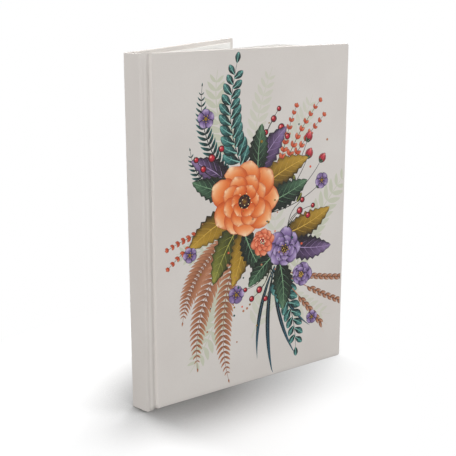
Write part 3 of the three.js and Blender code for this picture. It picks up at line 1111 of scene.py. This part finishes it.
def single_leaf(index):
    """One leaf of a shut signature, from its fold to its fore-edge."""
    thick, gap = SIGNATURE / LEAVES, 0.003
    low = -SIGNATURE / 2 + index * thick + gap
    high = low + thick - 2 * gap
    end = LEAF_WIDTH - leaf_rng.uniform(0.0, 0.3)
    bottom, top = SQUARE + leaf_rng.uniform(0, 0.05), HEIGHT - SQUARE - leaf_rng.uniform(0, 0.05)
    stations = [(-0.05, FOLD_SHARE), (FOLD_TAPER, 1.0)] + [(end * k / 6, 1.0) for k in range(1, 7)]
    line = [(x, low * share) for x, share in stations]
    line += [(x, high * share) for x, share in reversed(stations)]
    return loft([np.insert(np.array(line), 2, z, axis=1) for z in (bottom, top)])


def page_map(mesh, shut):
    """The place on the page for a leaf's two sides, and a mark for its cut edges and its two ends."""
    uv = np.full((len(mesh.loops), 2), CUT_EDGE)
    for face in mesh.polygons:
        p = shut[list(face.vertices)]
        wide, thick, tall = np.ptp(p, axis=0)
        if tall < 0.05:
            uv[list(face.loop_indices)] = SHADED_END
        elif len(p) == 4 and wide > 1 and thick < SIGNATURE / LEAVES / 2 + 0.15:
            uv[list(face.loop_indices)] = p[:, [0, 2]] - (0, SQUARE)
    mesh.uv_layers.new(name="page").uv.foreach_set("vector", uv.ravel())


def smooth_place(share):
    """Where the smooth step from 0 to 1 has risen to a share."""
    low, high = 0.0, 1.0
    for _ in range(50):
        t = (low + high) / 2
        low, high = (t, high) if smooth(t) < share else (low, t)
    return t


def leaf_group(number, group, turn, share):
    """Two leaves of a signature, which take a share of its turn."""
    name = f"signature_{number:02d}"
    fold = axis_place(f"{name}_turn")
    count = LEAVES // GROUPS
    shut, faces = joined(*(single_leaf(index) for index in range(group * count, (group + 1) * count)))
    moved = turned_about(shut, (0, 0), turn)
    moved[:, :2] += fold
    made = piece(f"{name}_leaves_{group + 1}", stand(moved, share=0.0), faces, [LEAF], sharp=20)
    page_map(made.data, shut)
    if share > 0.999:
        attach(made, name)
    else:
        # the whole leaf lies at one place along this line through the fold; this finds that place for the
        # group's share of the signature's turn, and the group stays where it is placed
        a = math.radians(turn)
        normal = np.array([-math.sin(a), math.cos(a), 0.0])
        start = stand([[*fold, HEIGHT / 2]], share=0.0)[0] - normal * smooth_place(share)
        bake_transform(made)
    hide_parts(name)


for number in range(1, SIGNATURES + 1):
    turn = sheet_turn(number)
    following = sheet_turn(number + 1) if number < SIGNATURES else 0.0
    inner = following if following * turn > 0 else 0.0
    for group in range(GROUPS):
        steps = group if turn < 0 else GROUPS - 1 - group
        here = turn + (inner - turn) * steps / GROUPS
        leaf_group(number, group, here, here / turn)


# Bands at head and tail
# The roll's radius, half its length, where its back lies, and how far it stands over the leaves.
BAND_RADIUS, BAND_HALF = 0.75, 4.06
BAND_BACK = 2.95
BAND_LIFT = 0.15
# The width of one thread, the spacing of the roll's rings, and the points round each.
THREAD = 0.6
ROW = 0.075
AROUND = 20
TAB_THICK, TAB_LENGTH = 0.24, 10.6


def woven_band(name, head):
    """A core wrapped closely with thread of two colours, on a cloth tab."""
    x, z = BAND_BACK + BAND_RADIUS, HEIGHT - SQUARE + BAND_LIFT + BAND_RADIUS
    rows = int(2 * BAND_HALF / ROW)
    rings, threads = [], []
    for k in range(rows + 1):
        y = -BAND_HALF + 2 * BAND_HALF * k / rows
        end = min(1.0, (min(k, rows - k) + 0.4) / 3)
        ring = []
        for i in range(AROUND):
            a = 2 * math.pi * i / AROUND
            phase = y / THREAD + 0.35 * math.sin(a)
            r = BAND_RADIUS * (0.9 + 0.1 * abs(math.sin(math.pi * phase)) ** 0.7) * (0.72 + 0.28 * end)
            ring.append((x + r * math.sin(a), y, z + r * math.cos(a)))
            threads.append(int(math.floor(phase)) % 2)
        rings.append(np.array(ring))
    roll, roll_faces = loft(rings)
    back, foot, top = BAND_BACK + 0.005, z - TAB_LENGTH, z - 0.3
    front = back + TAB_THICK
    tab = loft([np.array([(back, y, foot), (front, y, foot), (front, y, top), (back, y, top)])
                for y in np.linspace(BAND_HALF, -BAND_HALF, 30)])
    points, faces = joined((roll, turned_round(roll_faces)), tab)
    if not head:
        points[:, 2] = HEIGHT - points[:, 2]
    made = piece(name, stand(points, share=0.0), faces, [BAND], flip=not head)
    pair = (tone("e9e0cf"), tone("a89a86"))
    colours = np.array([pair[k] for k in threads] + [pair[0]] * (len(points) - len(roll)))
    layer = made.data.color_attributes.new("thread", "FLOAT_COLOR", "POINT")
    layer.data.foreach_set("color", colours.ravel())
    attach(made, "spine")
    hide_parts(name.replace("_roll", ""))


woven_band("headband_roll", True)
woven_band("tailband_roll", False)

# Solids that stay as they are
kept = {
    "spine_board": BOARD, "front_board": BOARD, "back_board": BOARD, "spine_lining": KRAFT, "mull": GAUZE,
    "spine_glue": GLUE, "front_flyleaf": ENDPAPER, "back_flyleaf": ENDPAPER,
}
for name, material in kept.items():
    for slot in frame["nodes"][name].material_slots:
        slot.material = material


# Floor and backdrop
# The middle of the floor's shown part, and how far from it the floor begins and ends to turn white.
SHADOW_CENTRE = (-0.046, 0.0, 0.0)
SHADOW_INNER, SHADOW_OUTER = 0.03, 0.155


def grey(level):
    return (level, level, level, 1)


def floor_material():
    """Plain pale floor that takes the shadow near the planner and turns white further out. It is dark for the
    light that it throws back, and has painted shade close to the planner, where an occlusion node darkens the
    tone that the camera sees."""
    t = Material("floor")
    position = t.add("NewGeometry").outputs["Position"]
    away = t.add("VectorMath", {"operation": "DISTANCE"}, i0=position, i1=SHADOW_CENTRE)
    seen = t.seen()
    # Painted contact shadow: the seen tone falls from 0.95 to 0.26 where the occlusion node finds the planner
    # close.
    near = t.add("AmbientOcclusion", {"samples": 8}, Distance=0.06)
    shown = t.mix(t.spread(near.outputs["AO"], 0.4, 1.0), grey(0.26), grey(0.95))
    t.put(t.shader, "Base Color", t.mix(seen, grey(0.13), shown))
    t.put(t.shader, "Roughness", 0.95)
    t.put(t.shader, "Specular IOR Level", 0.0)
    white = t.add("Emission", Color=grey(1), Strength=1.0)
    share = t.math("MULTIPLY", t.spread(away.outputs["Value"], SHADOW_INNER, SHADOW_OUTER), seen)
    t.put(t.out, "Surface", t.add("MixShader", i0=share, i1=t.shader, i2=white))
    return t.owner


bpy.ops.mesh.primitive_circle_add(vertices=64, radius=30, fill_type="NGON", location=(0, 0, -0.00002))
floor = bpy.context.object
floor.name = "floor"
floor.data.materials.append(floor_material())

world = Tree(bpy.data.worlds.new("studio"))
bpy.context.scene.world = world.owner
ambient = world.add("Background", Color=grey(1), Strength=0.04)
backdrop = world.add("Background", Color=grey(1), Strength=1.0)
world.add("OutputWorld", Surface=world.add("MixShader", i0=world.seen(), i1=ambient, i2=backdrop))

# Lamps and camera
# The camera's level heading, its right and up. The lamps aim at the planner's middle.
AHEAD, RIGHT, UP = Vector((0.750, 0.661, 0)), Vector((0.661, -0.750, 0)), Vector((0, 0, 1))
AIM = Vector((0, 0, HEIGHT / 2 * MM))


def lamp(name, azimuth, elevation, away, size, watts):
    """A square lamp. Azimuth 0 is straight behind the planner as the camera looks, 90 at its right."""
    a, e = math.radians(azimuth), math.radians(elevation)
    data = bpy.data.lights.new(name, "AREA")
    data.shape, data.size, data.energy = "SQUARE", size, watts
    made = bpy.data.objects.new(name, data)
    bpy.context.scene.collection.objects.link(made)
    level = AHEAD * (math.cos(e) * math.cos(a)) + RIGHT * (math.cos(e) * math.sin(a))
    made.location = AIM + (level + UP * math.sin(e)) * away
    made.rotation_euler = (AIM - made.location).to_track_quat("-Z", "Y").to_euler()


lamp("key", 40, 62, 1.4, 0.35, 9.5)
lamp("top", 15, 78, 1.4, 0.35, 6.4)
lamp("back_left", -40, 45, 1.5, 0.5, 13.5)
lamp("right_low", 96, 11, 1.7, 0.5, 18.2)
lamp("left_low", -155, 7, 1.7, 0.5, 21.3)
lamp("fore_low", 16, 16, 1.6, 0.6, 7.5)

# The camera looks down by 13.43 degrees.
camera_data = bpy.data.cameras.new("camera")
camera = bpy.data.objects.new("camera", camera_data)
bpy.context.scene.collection.objects.link(camera)
camera.location = Vector((-428.8, -360.2, 254.1)) * MM
camera.rotation_euler = Euler((math.radians(90 - 13.43), 0, math.radians(-50.59)), "XYZ")
camera_data.lens = 70.5
camera_data.sensor_width = 36.0
camera_data.shift_y = -0.0702
bpy.context.scene.camera = camera

bpy.context.scene.view_settings.view_transform = "Standard"
